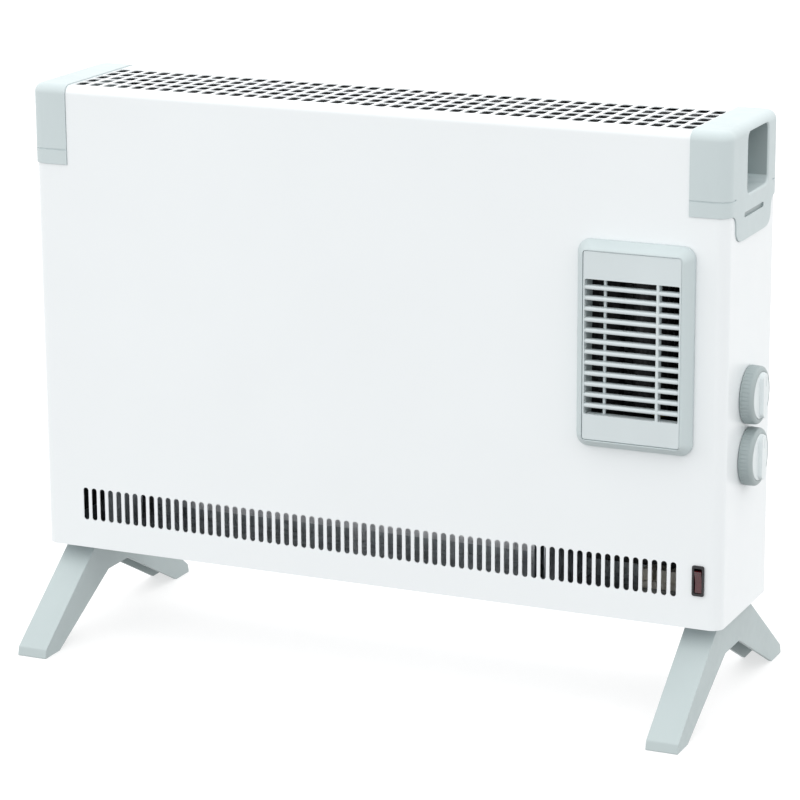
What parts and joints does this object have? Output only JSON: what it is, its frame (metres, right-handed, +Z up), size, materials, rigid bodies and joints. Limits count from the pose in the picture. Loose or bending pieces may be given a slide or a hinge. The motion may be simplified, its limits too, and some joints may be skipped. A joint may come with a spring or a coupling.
{
  "type": "fan convector heater",
  "caption": "Free-standing convector heater on splayed feet, with perforated top, louvred fan outlet, hand-hold end caps, two side knobs and a rocker switch.",
  "frame": {"origin": "on the floor, under the middle of the heater's overall box", "axes": "+X along the heater towards the control knobs, +Y from front to back, +Z up"},
  "size_m": [0.636, 0.266, 0.487],
  "materials": {
    "white_paint": "satin stove enamel",
    "grey_plastic": "fine satin moulded plastic, cool light grey",
    "pale_plastic": "satin moulded plastic, very pale grey",
    "knob_plastic": "satin moulded plastic, mid grey",
    "black_plastic": "smooth black moulding",
    "neon_red": "translucent dark red",
    "bright_steel": "bright plated",
    "galvanised": "galvanised sheet",
    "aluminium": "plain bright",
    "blackened": "thin black heat-proof coating",
    "copper": "enamelled copper winding",
    "mica": "pressed mica board",
    "ceramic": "unglazed",
    "brass": "satin"
  },
  "bodies": {
    "root": {"front_cover": "white_paint", "back_panel": "white_paint", "top_grille": "white_paint", "bottom_plate": "galvanised", "end_cap_left": "grey_plastic", "end_cap_right": "grey_plastic", "back_screw_1": "bright_steel", "back_screw_2": "bright_steel", "back_screw_3": "bright_steel", "back_screw_4": "bright_steel", "cable_gland": "black_plastic", "foot_left": "grey_plastic", "foot_right": "grey_plastic", "foot_screw_left_front": "bright_steel", "foot_screw_left_back": "bright_steel", "foot_screw_right_front": "bright_steel", "foot_screw_right_back": "bright_steel", "outlet_bezel": "grey_plastic", "outlet_louvre": "pale_plastic", "fan_scroll": "blackened", "fan_tongue": "blackened", "fan_plate_upper": "blackened", "fan_plate_lower": "blackened", "fan_bearing_upper": "brass", "fan_bearing_lower": "brass", "motor_core": "bright_steel", "motor_coil": "copper", "motor_bracket": "galvanised", "control_plate": "galvanised", "thermostat_body": "ceramic", "selector_body": "black_plastic", "rocker_housing": "black_plastic", "divider_plate": "galvanised", "element_stand_left": "galvanised", "element_stand_right": "galvanised", "element_board_1": "mica", "element_board_2": "mica", "element_wire_1": "bright_steel", "element_wire_2": "bright_steel", "heat_shield_front": "aluminium", "heat_shield_back": "aluminium", "thermal_cutout": "brass", "terminal_block": "ceramic"},
    "fan_rotor": {"fan_impeller": "blackened", "fan_shaft": "bright_steel", "motor_rotor": "bright_steel"},
    "thermostat_control": {"thermostat_knob": "knob_plastic", "thermostat_spindle": "bright_steel"},
    "selector_control": {"selector_knob": "knob_plastic", "selector_spindle": "bright_steel"},
    "rocker": {"rocker_button": "neon_red"}
  },
  "joints": [
    {"name": "fan_spin", "type": "hinge", "parent": "root", "child": "fan_rotor", "pos_m": [0.228, 0.002, 0.31], "axis": [0, 0, 1], "continuous": true},
    {"name": "thermostat_turn", "type": "hinge", "parent": "root", "child": "thermostat_control", "pos_m": [0.31, -0.002, 0.2645], "axis": [-1, 0, 0], "range_deg": [0, 280]},
    {"name": "selector_turn", "type": "hinge", "parent": "root", "child": "selector_control", "pos_m": [0.31, -0.002, 0.2131], "axis": [-1, 0, 0], "range_deg": [0, 270]},
    {"name": "rocker_tilt", "type": "hinge", "parent": "root", "child": "rocker", "pos_m": [0.284, -0.0567, 0.122], "axis": [-1, 0, 0], "range_deg": [0, 16]}
  ]
}
